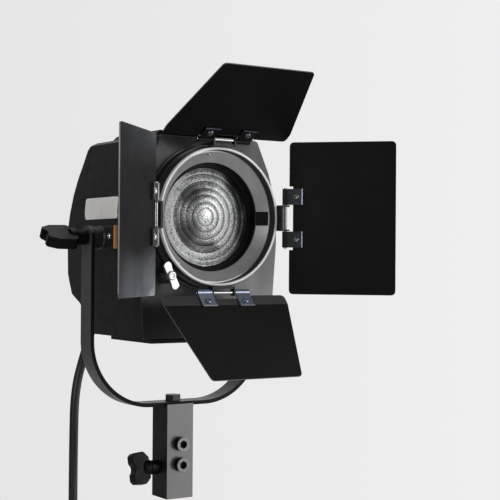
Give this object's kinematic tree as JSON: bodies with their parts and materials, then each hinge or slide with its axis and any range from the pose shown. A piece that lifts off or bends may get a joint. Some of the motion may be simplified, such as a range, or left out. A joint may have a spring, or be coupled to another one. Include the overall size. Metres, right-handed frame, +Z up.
{
  "type": "fresnel spotlight",
  "caption": "Black fresnel spotlight head with a stepped glass lens and barn doors on a turning ring, tilting in a flat-bar yoke with a stand bracket and a mains lead.",
  "frame": {"origin": "centre of the stand socket's mouth, on the underside of the stand bracket", "axes": "+Z up along the socket and the bracket, -Y the way the lens faces, +X to the right seen from the front, along the tilt axis"},
  "size_m": [0.3794, 0.4261, 0.7813],
  "materials": {
    "powder_coat": "satin black textured powder coat",
    "satin_black": "smooth satin black paint",
    "leaf_black": "matt black sheet, thin bare edges",
    "ring_metal": "satin bare aluminium",
    "cone_metal": "dull grey spun aluminium",
    "bright_steel": "bright zinc plated",
    "dark_steel": "blackened steel",
    "blue_zinc": "bluish zinc plate",
    "bracket_metal": "worn satin black paint over steel",
    "knob_plastic": "black moulded nylon",
    "rubber": "black rubber cable jacket",
    "lens_glass": "clear pressed glass",
    "lamp_glass": "clear quartz",
    "mirror": "polished aluminium reflector",
    "ceramic": "off-white ceramic"
  },
  "bodies": {
    "yoke": {"yoke": "powder_coat", "stand_bracket": "bracket_metal", "stand_receiver": "dark_steel", "yoke_bolt": "satin_black", "yoke_nut": "bright_steel", "cap_screw_upper": "dark_steel", "cap_screw_lower": "dark_steel", "cord_lead": "rubber", "cord_coil": "rubber", "plug": "rubber"},
    "clamp_screw": {"clamp_screw": "bright_steel"},
    "clamp_knob": {"clamp_knob": "knob_plastic"},
    "head": {"front_plate": "powder_coat", "housing": "powder_coat", "rear_cover": "powder_coat", "vent_cover": "powder_coat", "base_plate": "powder_coat", "pivot_plate_left": "satin_black", "pivot_plate_right": "satin_black", "tilt_stud": "bright_steel", "pivot_bolt": "bright_steel", "lens_seat": "satin_black", "lens": "lens_glass", "lens_retainer": "bright_steel", "ring_carrier": "satin_black", "ring_latch": "satin_black", "cord_gland": "rubber", "guide_rod_left": "bright_steel", "guide_rod_right": "bright_steel"},
    "tilt_knob": {"tilt_knob": "knob_plastic"},
    "focus": {"lead_screw": "bright_steel", "focus_knob": "knob_plastic"},
    "carriage": {"carriage": "dark_steel", "lamp_socket": "ceramic", "lamp": "lamp_glass", "reflector": "mirror"},
    "ring": {"barndoor_ring": "ring_metal", "ring_cone": "cone_metal", "filter_clip": "satin_black", "hinge_bracket_top": "satin_black", "hinge_rod_top": "bright_steel", "hinge_bracket_right": "satin_black", "hinge_rod_right": "bright_steel", "hinge_bracket_bottom": "satin_black", "hinge_rod_bottom": "bright_steel", "hinge_bracket_left": "satin_black", "hinge_rod_left": "bright_steel"},
    "wing_screw": {"wing_screw": "bright_steel"},
    "leaf_top": {"leaf_top": "leaf_black", "hinge_clip_top_a": "dark_steel", "hinge_clip_top_b": "dark_steel"},
    "leaf_right": {"leaf_right": "leaf_black", "hinge_clip_right_a": "dark_steel", "hinge_clip_right_b": "dark_steel"},
    "leaf_bottom": {"leaf_bottom": "leaf_black", "hinge_clip_bottom_a": "blue_zinc", "hinge_clip_bottom_b": "blue_zinc"},
    "leaf_left": {"leaf_left": "leaf_black", "hinge_clip_left_a": "dark_steel", "hinge_clip_left_b": "dark_steel"}
  },
  "joints": [
    {"name": "tilt", "type": "hinge", "parent": "yoke", "child": "head", "pos_m": [0, 0, 0.329], "axis": [1, 0, 0], "range_deg": [-60, 40], "deforming": ["cord_lead"]},
    {"name": "tilt_knob_turn", "type": "hinge", "parent": "head", "child": "tilt_knob", "pos_m": [-0.13, 0, 0.329], "axis": [1, 0, 0], "range_deg": [-180, 180]},
    {"name": "clamp_knob_turn", "type": "hinge", "parent": "clamp_screw", "child": "clamp_knob", "pos_m": [-0.03, 0, 0.039], "axis": [1, 0, 0], "range_deg": [0, 728]},
    {"name": "clamp_screw_feed", "type": "slide", "parent": "yoke", "child": "clamp_screw", "axis": [-1, 0, 0], "range_m": [0, 0.0035]},
    {"name": "focus_turn", "type": "hinge", "parent": "head", "child": "focus", "pos_m": [0, 0.104, 0.295], "axis": [0, 1, 0], "range_deg": [-728, 728]},
    {"name": "carriage_slide", "type": "slide", "parent": "head", "child": "carriage", "axis": [0, 1, 0], "range_m": [-0.032, 0.032]},
    {"name": "door_ring_turn", "type": "hinge", "parent": "head", "child": "ring", "pos_m": [0, -0.103, 0.355], "axis": [0, 1, 0], "continuous": true},
    {"name": "wing_screw_turn", "type": "hinge", "parent": "head", "child": "wing_screw", "pos_m": [-0.065, -0.103, 0.2835], "axis": [0, 1, 0], "range_deg": [-50, 0]},
    {"name": "leaf_top_swing", "type": "hinge", "parent": "ring", "child": "leaf_top", "pos_m": [0, -0.1168, 0.447], "axis": [1, 0, 0], "range_deg": [-53, 77]},
    {"name": "leaf_right_swing", "type": "hinge", "parent": "ring", "child": "leaf_right", "pos_m": [0.092, -0.1168, 0.355], "axis": [0, 0, 1], "range_deg": [-84, 46]},
    {"name": "leaf_bottom_swing", "type": "hinge", "parent": "ring", "child": "leaf_bottom", "pos_m": [0, -0.1168, 0.263], "axis": [-1, 0, 0], "range_deg": [-39, 91]},
    {"name": "leaf_left_swing", "type": "hinge", "parent": "ring", "child": "leaf_left", "pos_m": [-0.092, -0.1168, 0.355], "axis": [0, 0, -1], "range_deg": [-86, 44]}
  ],
  "couplings": [
    {"joint": "clamp_knob_turn", "follows": "clamp_screw_feed", "rad_per_m": 3590.4},
    {"joint": "focus_turn", "follows": "carriage_slide", "rad_per_m": 392.7}
  ]
}
